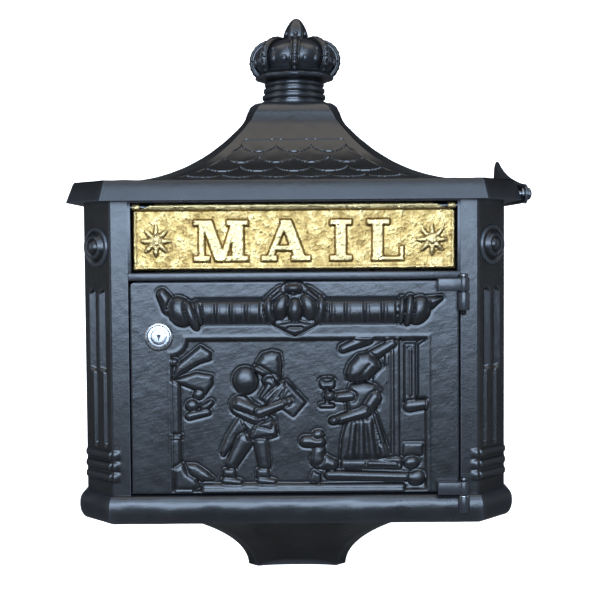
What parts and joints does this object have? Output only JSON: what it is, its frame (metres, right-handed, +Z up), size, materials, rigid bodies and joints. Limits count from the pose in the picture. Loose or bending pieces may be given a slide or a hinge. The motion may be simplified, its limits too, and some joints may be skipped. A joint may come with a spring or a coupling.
{
  "type": "wall mounted mailbox",
  "caption": "Black cast metal wall mailbox with a bell shaped roof and crown, brass letter flap, locking relief door, fluted corners, side signal flag and corbel foot.",
  "frame": {"origin": "centre of the four wall holes, on the wall plane", "axes": "+X to the right seen from the front, +Y into the wall, +Z up; the front looks along -Y"},
  "size_m": [0.3623, 0.178, 0.478],
  "materials": {
    "black_paint": "satin",
    "cast_brass": "satin",
    "nickel_chrome": "gloss",
    "zinc_steel": "satin"
  },
  "bodies": {
    "housing": {"front_frame": "black_paint", "left_side_panel": "black_paint", "right_side_panel": "black_paint", "back_panel": "black_paint", "base_casting": "black_paint", "corbel": "black_paint", "roof": "black_paint", "crown_finial": "black_paint", "finial_bolt": "zinc_steel", "finial_washer": "zinc_steel", "roof_screws": "zinc_steel", "back_screws": "zinc_steel", "base_screws": "zinc_steel", "corbel_screws": "zinc_steel", "side_screws": "zinc_steel", "upper_hinge_pin": "zinc_steel", "lower_hinge_pin": "zinc_steel", "flap_rod": "zinc_steel", "rod_straps": "zinc_steel", "strap_screws": "zinc_steel", "flag_bolt": "zinc_steel", "flag_washer": "zinc_steel", "flag_nut": "black_paint"},
    "door": {"door": "black_paint", "lock_barrel": "nickel_chrome", "lock_nut": "zinc_steel"},
    "lock": {"lock_plug": "nickel_chrome", "lock_cam": "zinc_steel", "cam_screw": "zinc_steel"},
    "letter_flap": {"mail_flap": "cast_brass"},
    "flag": {"signal_flag": "black_paint"}
  },
  "joints": [
    {"name": "door_hinge", "type": "hinge", "parent": "housing", "child": "door", "pos_m": [0.128, -0.17, 0], "axis": [0, 0, 1], "range_deg": [0, 105]},
    {"name": "lock_turn", "type": "hinge", "parent": "door", "child": "lock", "pos_m": [-0.1035, -0.16, 0.0097], "axis": [0, 1, 0], "range_deg": [0, 90]},
    {"name": "flap_hinge", "type": "hinge", "parent": "housing", "child": "letter_flap", "pos_m": [0, -0.1623, 0.1083], "axis": [1, 0, 0], "range_deg": [0, 75]},
    {"name": "flag_pivot", "type": "hinge", "parent": "housing", "child": "flag", "pos_m": [0.179, -0.14038, 0.1175], "axis": [1, 0, 0], "range_deg": [0, 90]}
  ]
}
